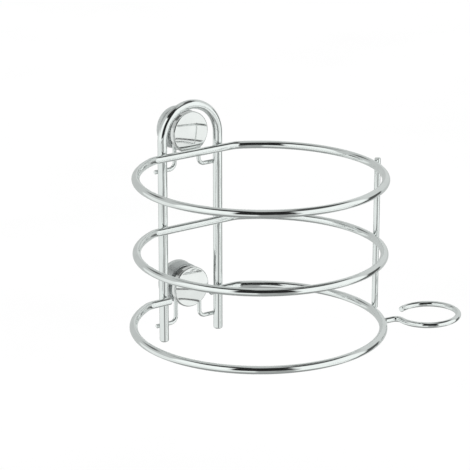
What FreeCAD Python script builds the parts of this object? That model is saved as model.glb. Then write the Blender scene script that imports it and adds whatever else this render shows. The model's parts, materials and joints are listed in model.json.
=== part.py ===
import FreeCAD, Part
import math
import os

# Wall-mounted hair dryer holder: a chrome wire basket of three D-shaped rings on an arched hanger, held by
# two screw-locked suction cups. The dryer's nozzle drops through the rings and its plug rests in the side
# loop.
#
# Millimetres, +Z up and +X to the right along the wall. The wall is the plane y = 0 and the holder stands
# in front of it, towards -Y. "Depth" is the distance from the wall, so y = -depth. The origin is the centre
# of the upper suction disc's wall face.

# ---- Wire gauges ----
HANGER_ROD = 5.8
RING_WIRE = 4.8
UPRIGHT_WIRE = 3.8
LOOP_WIRE = 3.5
HOOK_WIRE = 2.6
WELD_SET_DOWN = 0.25          # how far two crossed wires sink into each other at a resistance weld
END_ROUNDING = 0.6            # rounded-over edge at the thin wires' cut ends
HANGER_END_ROUNDING = 1.4

# ---- Hanger arch: two vertical legs under a half circle ----
LEG_HALF_SPACING = 20.7
ARCH_CENTRE_Z = -3.2
LEG_BOTTOM_Z = -132.0

# ---- Basket rings: circles with a straight back that lies across the legs ----
RING_RADIUS = 73.6            # centre line of the wire
RING_BACK_OFFSET = 67.0       # ring centre to the straight back's centre line
RING_CORNER_RADIUS = 12.0
RING_BACK_DEPTH = 21.7        # straight back's centre line, from the wall
TOP_RING_Z = -12.0
RING_SPACING = 46.0
BOTTOM_RING_SPREAD = 2.7      # how much wider the bottom ring has sprung, its back being cut
LEFT_STUB = 1.6               # how far the bottom ring's left cut end reaches past the leg's centre line
RIGHT_STUB = 9.7              # the same at the right, where the wire was cut longer

# ---- Side upright and plug loop ----
UPRIGHT_ANGLE = -12.0         # about the ring centre, from +X; negative is towards the front
UPRIGHT_TOP_Z = -9.0
UPRIGHT_BOTTOM_Z = -104.5
LOOP_RADIUS = 18.4
LOOP_CENTRE_DISTANCE = 103.1  # from the ring centre
LOOP_CENTRE_ANGLE = -28.0
LOOP_START_ANGLE = 170.0      # round the loop, where the bent shank joins it
LOOP_END_ANGLE = 471.0        # free end: the loop stays open next to the ring
SHANK_HEADING = -11.0
SHANK_BEND_RADIUS = 4.0
SHANK_SINK = 0.5              # how far the shank's end is set into the ring's outer side
LOOP_RISE = 2.2               # how far the shank and loop slope up, away from the weld

# ---- Hooks: inverted U wires that hang over the necks of the suction cups ----
HOOK_RADIUS = 9.0
HOOK_FOOT_DROP = 22.5         # cup axis down to the feet
HOOK_FOOT_BEND = 4.0
HOOK_FOOT_REACH = 24.0        # centre line of the holder to the foot's end

# ---- Suction cups, turned about an axis square to the wall ----
CUP_SPACING = 100.0
DISC_RADIUS = 13.4
DISC_SHOULDER_RADIUS = 12.9
DISC_LIP_DEPTH = 1.0
DISC_FRONT_DEPTH = 2.5
DISC_HOLLOW_RADIUS = 9.8
DISC_HOLLOW_DEPTH = 1.4
DISC_BOSS_RADIUS = 5.5
DISC_BOSS_DEPTH = 8.0

HOUSING_RADIUS = 13.0
HOUSING_FRONT_DEPTH = 10.6
HOUSING_EDGE_ROUNDING = 1.0
HOUSING_CAVITY_RADIUS = 11.4
HOUSING_CAVITY_DEPTH = 8.6
NECK_RADIUS = 7.65
NECK_FRONT_DEPTH = 13.9

STUD_RADIUS = 2.5
STUD_HEAD_RADIUS = 4.25
STUD_HEAD_BACK_DEPTH = 3.0
STUD_HEAD_THICKNESS = 2.0
STUD_TIP_DEPTH = 16.2
STUD_TIP_CHAMFER = 0.3
RUNNING_CLEARANCE = 0.05

WASHER_RADIUS = 7.2
WASHER_HOLE_RADIUS = 2.8
WASHER_THICKNESS = 0.5

KNOB_RADIUS = 13.0
KNOB_FRONT_DEPTH = 18.7
KNOB_DOME_RADIUS = 75.0
KNOB_EDGE_ROUNDING = 1.2
CORE_RADIUS = 12.2
CORE_FRONT_DEPTH = 17.0
INSERT_RADIUS = 4.2
INSERT_FRONT_DEPTH = 16.5

# ---- Positions that follow from the sizes above ----
RING_CENTRE = FreeCAD.Vector(0, -RING_BACK_OFFSET - RING_BACK_DEPTH, 0)
LEG_DEPTH = RING_BACK_DEPTH - RING_WIRE / 2 - HANGER_ROD / 2 + WELD_SET_DOWN
HOOK_DEPTH = LEG_DEPTH - HANGER_ROD / 2 - HOOK_WIRE / 2 + WELD_SET_DOWN
BOTTOM_RING_Z = TOP_RING_Z - 2 * RING_SPACING
WASHER_FRONT_DEPTH = NECK_FRONT_DEPTH + WASHER_THICKNESS
KNOB_BACK_DEPTH = WASHER_FRONT_DEPTH + RUNNING_CLEARANCE


def on_circle(centre, radius, degrees):
    """Point on a level circle."""
    angle = math.radians(degrees)
    return centre + FreeCAD.Vector(radius * math.cos(angle), radius * math.sin(angle), 0.0)


def level_arc(centre, radius, start_degrees, end_degrees):
    """Arc edge in a level plane; it runs clockwise when the end angle is below the start angle."""
    angles = (start_degrees, (start_degrees + end_degrees) / 2, end_degrees)
    return Part.Arc(*[on_circle(centre, radius, angle) for angle in angles]).toShape()


def rounded_path(points, bend_radii):
    """Straight runs through the points, joined by tangent arcs; one bend radius for each inner point."""
    edges = []
    run_start = points[0]
    for before, corner, after, radius in zip(points, points[1:], points[2:], bend_radii):
        inward = (before - corner).normalize()
        outward = (after - corner).normalize()
        half_angle = inward.getAngle(outward) / 2
        tangent_length = radius / math.tan(half_angle)
        arc_start = corner + inward * tangent_length
        arc_end = corner + outward * tangent_length
        bisector = (inward + outward).normalize()
        arc_middle = corner + bisector * (radius / math.sin(half_angle) - radius)
        if run_start.distanceToPoint(arc_start) > 1e-6:
            edges.append(Part.makeLine(run_start, arc_start))
        edges.append(Part.Arc(arc_start, arc_middle, arc_end).toShape())
        run_start = arc_end
    edges.append(Part.makeLine(run_start, points[-1]))
    return edges


def wire_along(edges, diameter):
    """Round wire swept along a path of tangent edges."""
    path = Part.Wire(edges)
    start = edges[0].valueAt(edges[0].FirstParameter)
    direction = edges[0].tangentAt(edges[0].FirstParameter)
    section = Part.Wire(Part.makeCircle(diameter / 2, start, direction))
    return path.makePipeShell([section], True, False)


def round_cut_ends(wire, radius):
    """Round over the edge of each flat cut end."""
    rims = []
    for face in wire.Faces:
        if isinstance(face.Surface, Part.Plane):
            rims.extend(face.Edges)
    return wire.makeFillet(radius, rims)


def turned(profile, axis_z):
    """Turn a closed profile of (radius, depth) points about a cup's axis."""
    points = [FreeCAD.Vector(radius, -depth, axis_z) for radius, depth in profile]
    face = Part.Face(Part.makePolygon(points + points[:1]))
    return face.revolve(FreeCAD.Vector(0, 0, axis_z), FreeCAD.Vector(0, 1, 0), 360)


def disc_between(radius, back_depth, front_depth, axis_z):
    """Plain cylinder on a cup's axis."""
    base = FreeCAD.Vector(0, -back_depth, axis_z)
    return Part.makeCylinder(radius, front_depth - back_depth, base, FreeCAD.Vector(0, -1, 0))


def round_front_rim(solid, rim_radius, rounding):
    """Round over the foremost full circle of the given radius."""
    rims = []
    for edge in solid.Edges:
        is_circle = isinstance(edge.Curve, Part.Circle)
        if is_circle and abs(edge.Curve.Radius - rim_radius) < 1e-4:
            rims.append(edge)
    foremost = min(rims, key=lambda edge: edge.Curve.Center.y)
    return solid.makeFillet(rounding, [foremost])


def hanger_arch():
    """Inverted U of thick rod."""
    y = -LEG_DEPTH
    top = ARCH_CENTRE_Z + LEG_HALF_SPACING
    points = [
        FreeCAD.Vector(-LEG_HALF_SPACING, y, LEG_BOTTOM_Z),
        FreeCAD.Vector(-LEG_HALF_SPACING, y, top),
        FreeCAD.Vector(LEG_HALF_SPACING, y, top),
        FreeCAD.Vector(LEG_HALF_SPACING, y, LEG_BOTTOM_Z),
    ]
    rod = wire_along(rounded_path(points, [LEG_HALF_SPACING, LEG_HALF_SPACING]), HANGER_ROD)
    return round_cut_ends(rod, HANGER_END_ROUNDING)


def ring_round_edges(z, spread=0.0):
    """Right corner, round front and left corner of a ring, in order, and both corners' centres.

    A spread ring has sprung open by that much, all of it towards the left.
    """
    centre = RING_CENTRE + FreeCAD.Vector(-spread / 2, 0, z)
    radius = RING_RADIUS + spread / 2
    corner_y = RING_BACK_OFFSET - RING_CORNER_RADIUS
    corner_x = math.sqrt((radius - RING_CORNER_RADIUS) ** 2 - corner_y ** 2)
    join = math.degrees(math.atan2(corner_y, corner_x))
    right_corner = centre + FreeCAD.Vector(corner_x, corner_y, 0)
    left_corner = centre + FreeCAD.Vector(-corner_x, corner_y, 0)
    edges = [
        level_arc(right_corner, RING_CORNER_RADIUS, 90, join),
        level_arc(centre, radius, join, -180 - join),
        level_arc(left_corner, RING_CORNER_RADIUS, 180 - join, 90),
    ]
    return edges, right_corner, left_corner


def closed_ring(z):
    """D-shaped ring: a circle closed by a straight back."""
    round_edges, right_corner, left_corner = ring_round_edges(z)
    to_back = FreeCAD.Vector(0, RING_CORNER_RADIUS, 0)
    back = Part.makeLine(left_corner + to_back, right_corner + to_back)
    return wire_along([back] + round_edges, RING_WIRE)


def open_ring(z):
    """The same ring with its straight back cut out between the legs, which clears the lower suction cup."""
    round_edges, right_corner, left_corner = ring_round_edges(z, BOTTOM_RING_SPREAD)
    to_back = FreeCAD.Vector(0, RING_CORNER_RADIUS, 0)
    right_end = FreeCAD.Vector(LEG_HALF_SPACING - RIGHT_STUB, -RING_BACK_DEPTH, z)
    left_end = FreeCAD.Vector(LEFT_STUB - LEG_HALF_SPACING, -RING_BACK_DEPTH, z)
    right_stub = Part.makeLine(right_end, right_corner + to_back)
    left_stub = Part.makeLine(left_corner + to_back, left_end)
    return round_cut_ends(wire_along([right_stub] + round_edges + [left_stub], RING_WIRE), END_ROUNDING)


def side_upright():
    """Straight wire that ties the three rings together on their outer side."""
    distance = RING_RADIUS + RING_WIRE / 2 + UPRIGHT_WIRE / 2 - WELD_SET_DOWN
    foot = on_circle(RING_CENTRE, distance, UPRIGHT_ANGLE)
    bottom = foot + FreeCAD.Vector(0, 0, UPRIGHT_BOTTOM_Z)
    top = foot + FreeCAD.Vector(0, 0, UPRIGHT_TOP_Z)
    return round_cut_ends(wire_along([Part.makeLine(bottom, top)], UPRIGHT_WIRE), END_ROUNDING)


def plug_loop():
    """Open loop on a short bent shank, welded to the bottom ring's outer side and sloping up a little."""
    ring_centre = RING_CENTRE + FreeCAD.Vector(0, 0, BOTTOM_RING_Z)
    loop_centre = on_circle(ring_centre, LOOP_CENTRE_DISTANCE, LOOP_CENTRE_ANGLE)
    loop_start = on_circle(loop_centre, LOOP_RADIUS, LOOP_START_ANGLE)
    bend_centre = on_circle(loop_start, SHANK_BEND_RADIUS, LOOP_START_ANGLE)
    bend_start_angle = SHANK_HEADING + 90
    bend_start = on_circle(bend_centre, SHANK_BEND_RADIUS, bend_start_angle)
    # The shank runs back from the bend until it is set into the outer side of the ring.
    heading = on_circle(FreeCAD.Vector(0, 0, 0), 1.0, SHANK_HEADING)
    offset = bend_start - ring_centre
    along = offset.dot(heading)
    weld_radius = RING_RADIUS + RING_WIRE / 2 - SHANK_SINK
    shank_length = along - math.sqrt(along ** 2 - offset.dot(offset) + weld_radius ** 2)
    weld = bend_start - heading * shank_length
    edges = [
        Part.makeLine(weld, bend_start),
        level_arc(bend_centre, SHANK_BEND_RADIUS, bend_start_angle, LOOP_START_ANGLE - 180),
        level_arc(loop_centre, LOOP_RADIUS, LOOP_START_ANGLE, LOOP_END_ANGLE),
    ]
    loop = round_cut_ends(wire_along(edges, LOOP_WIRE), END_ROUNDING)
    loop.rotate(weld, heading.cross(FreeCAD.Vector(0, 0, 1)), LOOP_RISE)
    return loop


def hook(axis_z):
    """Inverted U wire with out-turned feet; the feet are welded behind the hanger's legs."""
    y = -HOOK_DEPTH
    top = axis_z + HOOK_RADIUS
    foot = axis_z - HOOK_FOOT_DROP
    points = [
        FreeCAD.Vector(-HOOK_FOOT_REACH, y, foot),
        FreeCAD.Vector(-HOOK_RADIUS, y, foot),
        FreeCAD.Vector(-HOOK_RADIUS, y, top),
        FreeCAD.Vector(HOOK_RADIUS, y, top),
        FreeCAD.Vector(HOOK_RADIUS, y, foot),
        FreeCAD.Vector(HOOK_FOOT_REACH, y, foot),
    ]
    bends = [HOOK_FOOT_BEND, HOOK_RADIUS, HOOK_RADIUS, HOOK_FOOT_BEND]
    return round_cut_ends(wire_along(rounded_path(points, bends), HOOK_WIRE), END_ROUNDING)


def suction_disc(axis_z):
    """Soft dished disc: a lip on the wall and a boss moulded round the stud's head."""
    hole_radius = STUD_RADIUS + RUNNING_CLEARANCE
    pocket_radius = STUD_HEAD_RADIUS + RUNNING_CLEARANCE
    pocket_back = STUD_HEAD_BACK_DEPTH - RUNNING_CLEARANCE
    pocket_front = STUD_HEAD_BACK_DEPTH + STUD_HEAD_THICKNESS + RUNNING_CLEARANCE
    return turned([
        (DISC_HOLLOW_RADIUS, 0),
        (DISC_RADIUS, 0),
        (DISC_RADIUS, DISC_LIP_DEPTH),
        (DISC_SHOULDER_RADIUS, DISC_FRONT_DEPTH),
        (DISC_HOLLOW_RADIUS, DISC_FRONT_DEPTH),
        (DISC_BOSS_RADIUS, DISC_FRONT_DEPTH + DISC_HOLLOW_DEPTH),
        (DISC_BOSS_RADIUS, DISC_BOSS_DEPTH),
        (hole_radius, DISC_BOSS_DEPTH),
        (hole_radius, pocket_front),
        (pocket_radius, pocket_front),
        (pocket_radius, pocket_back),
        (0, pocket_back),
        (0, DISC_HOLLOW_DEPTH),
    ], axis_z)


def housing(axis_z):
    """Round body that presses the disc's lip to the wall, with the neck the hook hangs on."""
    bore_radius = STUD_RADIUS + RUNNING_CLEARANCE
    body = turned([
        (HOUSING_CAVITY_RADIUS, DISC_FRONT_DEPTH),
        (HOUSING_RADIUS, DISC_FRONT_DEPTH),
        (HOUSING_RADIUS, HOUSING_FRONT_DEPTH),
        (NECK_RADIUS, HOUSING_FRONT_DEPTH),
        (NECK_RADIUS, NECK_FRONT_DEPTH),
        (bore_radius, NECK_FRONT_DEPTH),
        (bore_radius, HOUSING_CAVITY_DEPTH),
        (NECK_RADIUS, HOUSING_CAVITY_DEPTH),
        (HOUSING_CAVITY_RADIUS, DISC_FRONT_DEPTH + HOUSING_CAVITY_RADIUS - NECK_RADIUS),
    ], axis_z)
    return round_front_rim(body, HOUSING_RADIUS, HOUSING_EDGE_ROUNDING)


def stud(axis_z):
    """Threaded stud, drawn plain at its outer diameter; its head pulls the disc's middle off the wall."""
    head_front = STUD_HEAD_BACK_DEPTH + STUD_HEAD_THICKNESS
    return turned([
        (0, STUD_HEAD_BACK_DEPTH),
        (STUD_HEAD_RADIUS, STUD_HEAD_BACK_DEPTH),
        (STUD_HEAD_RADIUS, head_front),
        (STUD_RADIUS, head_front),
        (STUD_RADIUS, STUD_TIP_DEPTH - STUD_TIP_CHAMFER),
        (STUD_RADIUS - STUD_TIP_CHAMFER, STUD_TIP_DEPTH),
        (0, STUD_TIP_DEPTH),
    ], axis_z)


def slip_washer(axis_z):
    """Flat washer between the neck and the turning knob."""
    washer = disc_between(WASHER_RADIUS, NECK_FRONT_DEPTH, WASHER_FRONT_DEPTH, axis_z)
    return washer.cut(disc_between(WASHER_HOLE_RADIUS, NECK_FRONT_DEPTH, WASHER_FRONT_DEPTH, axis_z))


def thread_insert(axis_z):
    """Round nut in the knob; its bore clears the stud by the running clearance."""
    bore_radius = STUD_RADIUS + RUNNING_CLEARANCE
    insert = disc_between(INSERT_RADIUS, KNOB_BACK_DEPTH, INSERT_FRONT_DEPTH, axis_z)
    return insert.cut(disc_between(bore_radius, KNOB_BACK_DEPTH, INSERT_FRONT_DEPTH, axis_z))


def knob_core(axis_z):
    """Moulded disc that carries the insert."""
    core = disc_between(CORE_RADIUS, KNOB_BACK_DEPTH, CORE_FRONT_DEPTH, axis_z)
    return core.cut(disc_between(INSERT_RADIUS, KNOB_BACK_DEPTH, INSERT_FRONT_DEPTH, axis_z))


def knob_cover(axis_z):
    """Slightly domed plated cap over the core."""
    blank = disc_between(KNOB_RADIUS, KNOB_BACK_DEPTH, KNOB_FRONT_DEPTH, axis_z)
    dome_centre = FreeCAD.Vector(0, KNOB_DOME_RADIUS - KNOB_FRONT_DEPTH, axis_z)
    cap = blank.common(Part.makeSphere(KNOB_DOME_RADIUS, dome_centre))
    cap = round_front_rim(cap, KNOB_RADIUS, KNOB_EDGE_ROUNDING)
    return cap.cut(disc_between(CORE_RADIUS, KNOB_BACK_DEPTH, CORE_FRONT_DEPTH, axis_z))


CUP_PIECES = {
    "suction_disc": suction_disc,
    "housing": housing,
    "stud": stud,
    "slip_washer": slip_washer,
    "thread_insert": thread_insert,
    "knob_core": knob_core,
    "knob_cover": knob_cover,
}

nodes = {
    "hanger_arch": hanger_arch(),
    "top_ring": closed_ring(TOP_RING_Z),
    "middle_ring": closed_ring(TOP_RING_Z - RING_SPACING),
    "bottom_ring": open_ring(BOTTOM_RING_Z),
    "side_upright": side_upright(),
    "plug_loop": plug_loop(),
    "upper_hook": hook(0.0),
    "lower_hook": hook(-CUP_SPACING),
}
for place, cup_axis_z in (("upper", 0.0), ("lower", -CUP_SPACING)):
    for piece, make_piece in CUP_PIECES.items():
        nodes[place + "_" + piece] = make_piece(cup_axis_z)

os.makedirs("parts", exist_ok=True)
for name, shape in nodes.items():
    (solid,) = shape.Solids
    solid.exportStep(os.path.join("parts", name + ".step"))
    print(f"{name}: valid {solid.isValid()}, {solid.Volume:.1f} mm3")
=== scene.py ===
import json
import math

import bpy
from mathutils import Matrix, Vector


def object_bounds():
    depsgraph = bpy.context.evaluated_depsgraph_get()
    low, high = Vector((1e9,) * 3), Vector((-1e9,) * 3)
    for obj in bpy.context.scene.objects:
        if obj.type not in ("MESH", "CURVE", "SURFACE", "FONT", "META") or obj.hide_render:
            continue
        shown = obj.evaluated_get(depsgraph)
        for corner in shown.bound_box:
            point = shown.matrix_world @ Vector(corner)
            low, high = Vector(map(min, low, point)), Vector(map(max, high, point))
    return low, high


# Camera, in metres and degrees. Azimuth 0 looks along +Y; a negative azimuth stands to the left of that.
CAMERA_AZIMUTH = -36.3
CAMERA_ELEVATION = 17.65
CAMERA_DISTANCE = 1.272
CAMERA_TARGET = Vector((-0.0107, -0.0777, -0.0484))
CAMERA_LENS_MM = 163.9
SENSOR_WIDTH_MM = 36.0

# Floor, well below the holder, which hangs on a wall.
FLOOR_DROP = 1.5
FLOOR_HALF_SIZE = 12.0
FLOOR_PAINT = (0.955, 0.975)

# Even white light on the floor and the plastic.
EVEN_LIGHT = 1.04

# Patterns in the materials: how many waves each noise has in a metre.
FLOOR_MOTTLE = 1.5
CHROME_SHADE = 90.0
CHROME_HAZE = 900.0
CHROME_WAVES = 170.0
MOULDING_SHADE = 120.0
VINYL_SHADE = 150.0
VINYL_DUST = 2500.0
TURNED_HAZE = 1800.0

# Noise values lie mostly between these two.
NOISE_LOW = 0.3
NOISE_HIGH = 0.7

# Darkest patches, as a share of the material's own colour. For the grooves it is painted shade, darkest at
# the bottom of each groove.
CHROME_DARKEST = 0.94
MOULDING_DARKEST = 0.90
VINYL_DARKEST = 0.92
PAINTED_GROOVE_SHADE = 0.75

# How far the roughness varies, as a share of its mean; for the vinyl, its limits.
CHROME_HAZE_SPREAD = 0.4
MOULDING_GLOSS_SPREAD = 0.2
TURNED_GLOSS_SPREAD = 0.3
VINYL_DUST_LOW = 0.35
VINYL_GLOSS_LIMITS = (0.18, 0.34)
VINYL_DUST_DEPTH = 0.000004

# What the chrome reflects: a grey room with soft-edged panels hung round the holder. Each panel has its
# brightness, its left and right edges (degrees to the right of the camera's side), its bottom and top edges
# (degrees above level), how far its edges fade, and how far it slopes (degrees down for each degree to the
# right of its left edge). Later panels hang in front of earlier ones.
ROOM_BRIGHTNESS = 0.58
STUDIO_TINT = (0.965, 1.0, 0.985)
STUDIO_PANELS = [
    ("floor", 0.33, -181.0, 181.0, -95.0, -50.0, 6.0, 0.0),
    ("left wall", 0.88, -125.0, -2.0, -44.0, 8.0, 4.0, 0.0),
    ("rear right wall", 0.68, 104.0, 181.0, 0.0, 40.0, 5.0, 0.0),
    ("left softbox", 1.05, -80.0, -26.0, -8.0, 60.0, 5.0, 0.0),
    ("right softbox", 1.02, 33.0, 104.0, -48.0, 60.0, 5.0, 0.0),
    ("upper rear flag", 0.38, -150.0, -90.0, 49.0, 82.0, 4.0, 0.0),
    ("upper left flag", 0.03, -94.0, -18.0, 49.0, 82.0, 4.0, 0.0),
    ("rear left flag", 0.14, -151.0, -117.0, 31.0, 41.0, 4.0, 0.0),
    ("upper right flag", 0.08, 20.0, 165.0, 48.0, 74.0, 5.0, 0.0),
    ("table front", 0.41, -2.0, 35.0, -60.0, 2.0, 4.0, 0.0),
    ("table corner", 0.16, 15.0, 24.0, -30.0, -8.0, 3.0, 0.0),
    ("camera side", 0.02, -23.0, 30.0, -5.0, 76.0, 3.0, 0.0),
    ("right stand", 0.10, 107.0, 129.0, -46.0, 10.0, 3.0, 0.0),
    ("table top", 0.93, 38.0, 104.0, -24.0, -15.0, 0.8, 0.157),
    ("far table edge", 0.08, 38.0, 104.0, -15.8, -14.6, 0.6, 0.157),
    ("near table edge", 0.08, 38.0, 104.0, -24.4, -23.2, 0.6, 0.157),
]


def direction_from(azimuth, elevation):
    """Unit vector from the holder towards a camera at this azimuth and elevation."""
    a = math.radians(azimuth)
    e = math.radians(elevation)
    return Vector((math.sin(a) * math.cos(e), -math.cos(a) * math.cos(e), math.sin(e)))


def add_camera():
    data = bpy.data.cameras.new("camera")
    data.lens = CAMERA_LENS_MM
    data.sensor_width = SENSOR_WIDTH_MM
    camera = bpy.data.objects.new("camera", data)
    bpy.context.scene.collection.objects.link(camera)
    away = direction_from(CAMERA_AZIMUTH, CAMERA_ELEVATION)
    camera.location = CAMERA_TARGET + away * CAMERA_DISTANCE
    camera.rotation_euler = (-away).to_track_quat("-Z", "Y").to_euler()
    bpy.context.scene.camera = camera


class Nodes:
    """Short way to add and link shader nodes."""

    def __init__(self, tree):
        self.tree = tree
        tree.nodes.clear()

    def add(self, kind, inputs=None, **settings):
        node = self.tree.nodes.new(kind)
        for name, value in settings.items():
            setattr(node, name, value)
        for name, value in (inputs or {}).items():
            if isinstance(value, bpy.types.NodeSocket):
                self.tree.links.new(value, node.inputs[name])
            else:
                node.inputs[name].default_value = value
        return node

    def math(self, operation, first, second=0.0):
        return self.add("ShaderNodeMath", {0: first, 1: second}, operation=operation).outputs[0]

    def dot(self, first, second):
        node = self.add("ShaderNodeVectorMath", {0: first, 1: second}, operation="DOT_PRODUCT")
        return node.outputs["Value"]

    def degrees(self, radians):
        return self.math("MULTIPLY", radians, 180.0 / math.pi)

    def remap(self, value, from_min, from_max, to_min=0.0, to_max=1.0):
        limits = {"From Min": from_min, "From Max": from_max, "To Min": to_min, "To Max": to_max}
        return self.add("ShaderNodeMapRange", {"Value": value, **limits}).outputs["Result"]

    def between(self, value, low, high, fade):
        """1 between the two limits and 0 outside them, fading across each limit."""
        above = self.remap(value, low - fade / 2, low + fade / 2)
        below = self.remap(value, high + fade / 2, high - fade / 2)
        return self.math("MULTIPLY", above, below)

    def noise(self, position, scale, detail=2.0):
        inputs = {"Vector": position, "Scale": scale, "Detail": detail}
        return self.add("ShaderNodeTexNoise", inputs).outputs["Fac"]

    def tinted(self, color, factor, darkest):
        """The colour, darkened where the factor is low."""
        shade = self.grey_ramp(factor, [(NOISE_LOW, darkest), (NOISE_HIGH, 1.0)])
        inputs = {0: 1.0, 6: shade, 7: (*color, 1.0)}
        return self.add("ShaderNodeMix", inputs, data_type="RGBA", blend_type="MULTIPLY").outputs[2]

    def varied(self, factor, mean, spread):
        """The mean, made smaller and larger by the spread as the noise varies."""
        return self.remap(factor, NOISE_LOW, NOISE_HIGH, (1 - spread) * mean, (1 + spread) * mean)

    def grey_ramp(self, factor, stops):
        node = self.add("ShaderNodeValToRGB", {"Fac": factor})
        ramp = node.color_ramp
        while len(ramp.elements) < len(stops):
            ramp.elements.new(1.0)
        for element, (position, value) in zip(ramp.elements, stops):
            element.position = position
            element.color = (value, value, value, 1.0)
        return node.outputs["Color"]


def add_studio():
    """Soft even light for the floor and the plastic, and bright and dark surroundings for the chrome."""
    world = bpy.data.worlds.new("studio")
    world.use_nodes = True
    bpy.context.scene.world = world
    nodes = Nodes(world.node_tree)
    direction = nodes.add("ShaderNodeTexCoord").outputs["Generated"]
    front = nodes.dot(direction, direction_from(CAMERA_AZIMUTH, 0.0))
    right = nodes.dot(direction, direction_from(CAMERA_AZIMUTH + 90.0, 0.0))
    up = nodes.dot(direction, Vector((0.0, 0.0, 1.0)))
    bearing = nodes.degrees(nodes.math("ARCTAN2", right, front))
    height = nodes.degrees(nodes.math("ARCSINE", up))
    brightness = ROOM_BRIGHTNESS
    for name, value, left_edge, right_edge, bottom, top, fade, slope in STUDIO_PANELS:
        across = nodes.between(bearing, left_edge, right_edge, fade)
        drop = nodes.math("MULTIPLY", nodes.math("SUBTRACT", bearing, left_edge), slope)
        upwards = nodes.between(nodes.math("ADD", height, drop), bottom, top, fade)
        covered = nodes.math("MULTIPLY", across, upwards)
        panel = nodes.add("ShaderNodeMix", {"Factor": covered, "A": brightness, "B": value}, label=name)
        brightness = panel.outputs["Result"]
    chrome_light = nodes.add("ShaderNodeBackground", {"Color": (*STUDIO_TINT, 1.0), "Strength": brightness})
    even_light = nodes.add("ShaderNodeBackground", {"Color": (1.0, 1.0, 1.0, 1.0), "Strength": EVEN_LIGHT})
    reflected = nodes.add("ShaderNodeLightPath").outputs["Is Glossy Ray"]
    either = {0: reflected, 1: even_light.outputs[0], 2: chrome_light.outputs[0]}
    light = nodes.add("ShaderNodeMixShader", either).outputs[0]
    nodes.add("ShaderNodeOutputWorld", {"Surface": light})


def add_floor(low_z):
    mesh = bpy.data.meshes.new("floor")
    s = FLOOR_HALF_SIZE
    mesh.from_pydata([(-s, -s, 0), (s, -s, 0), (s, s, 0), (-s, s, 0)], [], [(0, 1, 2, 3)])
    floor = bpy.data.objects.new("floor", mesh)
    bpy.context.scene.collection.objects.link(floor)
    floor.location.z = low_z - FLOOR_DROP
    floor.visible_glossy = False
    material = bpy.data.materials.new("floor_paint")
    material.use_nodes = True
    nodes = Nodes(material.node_tree)
    position = nodes.add("ShaderNodeTexCoord").outputs["Object"]
    mottle = nodes.noise(position, FLOOR_MOTTLE, 3.0)
    paint = nodes.grey_ramp(mottle, [(NOISE_LOW, FLOOR_PAINT[0]), (NOISE_HIGH, FLOOR_PAINT[1])])
    shader = nodes.add("ShaderNodeBsdfDiffuse", {"Color": paint}).outputs[0]
    nodes.add("ShaderNodeOutputMaterial", {"Surface": shader})
    mesh.materials.append(material)


def start_material(name):
    """New node material; returns it with its nodes and the position on the object, in metres."""
    material = bpy.data.materials.new(name)
    material.use_nodes = True
    nodes = Nodes(material.node_tree)
    position = nodes.add("ShaderNodeTexCoord").outputs["Object"]
    return material, nodes, position


def finish_material(nodes, color, roughness, height, bump_depth, **constants):
    """Principled shader with a bump; the constants are the same all over the surface."""
    bump = nodes.add("ShaderNodeBump", {"Height": height, "Distance": bump_depth}).outputs["Normal"]
    inputs = {"Base Color": color, "Roughness": roughness, "Normal": bump, **constants}
    shader = nodes.add("ShaderNodeBsdfPrincipled", inputs).outputs[0]
    nodes.add("ShaderNodeOutputMaterial", {"Surface": shader})


def chrome_plate(name, color, roughness, waviness):
    """Bright plate: patches of haze and shade, and the faint waviness of the metal under it."""
    material, nodes, position = start_material(name)
    shade = nodes.tinted(color, nodes.noise(position, CHROME_SHADE, 3.0), CHROME_DARKEST)
    haze = nodes.varied(nodes.noise(position, CHROME_HAZE, 4.0), roughness, CHROME_HAZE_SPREAD)
    waves = nodes.noise(position, CHROME_WAVES, 1.0)
    finish_material(nodes, shade, haze, waves, waviness, Metallic=1.0)
    return material


def moulded_plastic(name, color, roughness, grain_scale, grain_depth):
    """Moulding with the fine grain of its mould."""
    material, nodes, position = start_material(name)
    grain = nodes.noise(position, grain_scale, 5.0)
    shade = nodes.tinted(color, nodes.noise(position, MOULDING_SHADE), MOULDING_DARKEST)
    gloss = nodes.varied(grain, roughness, MOULDING_GLOSS_SPREAD)
    finish_material(nodes, shade, gloss, grain, grain_depth)
    return material


def soft_vinyl(name, color):
    """Smooth soft vinyl with a thin glossy skin and a little dust."""
    material, nodes, position = start_material(name)
    dust = nodes.noise(position, VINYL_DUST, 6.0)
    shade = nodes.tinted(color, nodes.noise(position, VINYL_SHADE), VINYL_DARKEST)
    gloss = nodes.remap(dust, VINYL_DUST_LOW, NOISE_HIGH, *VINYL_GLOSS_LIMITS)
    skin = {"Coat Weight": 0.3, "Sheen Weight": 0.05}
    finish_material(nodes, shade, gloss, dust, VINYL_DUST_DEPTH, **skin)
    return material


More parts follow.
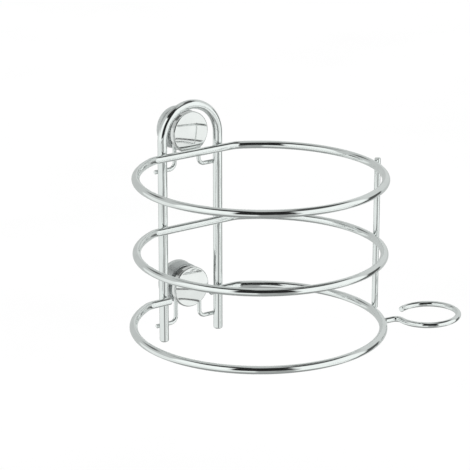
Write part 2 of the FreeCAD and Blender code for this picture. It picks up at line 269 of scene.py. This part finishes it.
def turned_metal(name, color, roughness, pitch, groove_depth):
    """Metal cut on a lathe or threaded: grooves at an even pitch along the cup's axis, with shade painted
    into each groove.
    """
    material, nodes, position = start_material(name)
    along_axis = nodes.add("ShaderNodeSeparateXYZ", {0: position}).outputs["Y"]
    grooves = nodes.math("PINGPONG", along_axis, pitch / 2)
    profile = nodes.remap(grooves, 0.0, pitch / 2)
    # Painted shade: the colour darkens towards the bottom of each groove.
    shade = nodes.tinted(color, profile, PAINTED_GROOVE_SHADE)
    gloss = nodes.varied(nodes.noise(position, TURNED_HAZE, 3.0), roughness, TURNED_GLOSS_SPREAD)
    finish_material(nodes, shade, gloss, profile, groove_depth, Metallic=1.0)
    return material


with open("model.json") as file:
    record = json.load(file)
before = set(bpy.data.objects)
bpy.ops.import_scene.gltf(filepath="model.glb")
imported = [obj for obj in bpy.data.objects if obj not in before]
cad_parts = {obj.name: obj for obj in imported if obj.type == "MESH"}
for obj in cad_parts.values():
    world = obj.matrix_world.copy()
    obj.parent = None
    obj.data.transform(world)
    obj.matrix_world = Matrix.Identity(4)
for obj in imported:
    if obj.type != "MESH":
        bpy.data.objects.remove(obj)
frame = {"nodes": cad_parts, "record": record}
cad_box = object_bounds()

# Roughness is between 0 and 1; waviness, depths and pitches are in metres, grain scales in waves per metre.
materials = {
    "chrome_wire": chrome_plate("chrome_wire", (0.90, 0.92, 0.915), roughness=0.055, waviness=0.00001),
    "chrome_cover": chrome_plate("chrome_cover", (0.87, 0.875, 0.87), roughness=0.05, waviness=0.000004),
    "housing_plate": chrome_plate("housing_plate", (0.60, 0.62, 0.62), roughness=0.38, waviness=0.00001),
    "disc_pvc": soft_vinyl("disc_pvc", (0.50, 0.53, 0.52)),
    "stud_steel": turned_metal(
        "stud_steel", (0.60, 0.60, 0.58), roughness=0.25, pitch=0.0008, groove_depth=0.0002
    ),
    "washer_nylon": moulded_plastic(
        "washer_nylon", (0.82, 0.82, 0.78), roughness=0.45, grain_scale=1200.0, grain_depth=0.00001
    ),
    "insert_brass": turned_metal(
        "insert_brass", (0.78, 0.60, 0.30), roughness=0.25, pitch=0.0003, groove_depth=0.00003
    ),
    "core_abs": moulded_plastic(
        "core_abs", (0.04, 0.042, 0.045), roughness=0.40, grain_scale=1500.0, grain_depth=0.00002
    ),
}
for part in frame["record"]["subparts"]:
    node = frame["nodes"][part["node"]]
    for slot in node.material_slots:
        slot.material = materials[part["material_slot"]]

bpy.context.scene.view_settings.view_transform = "Standard"
add_camera()
add_studio()
add_floor(cad_box[0][2])
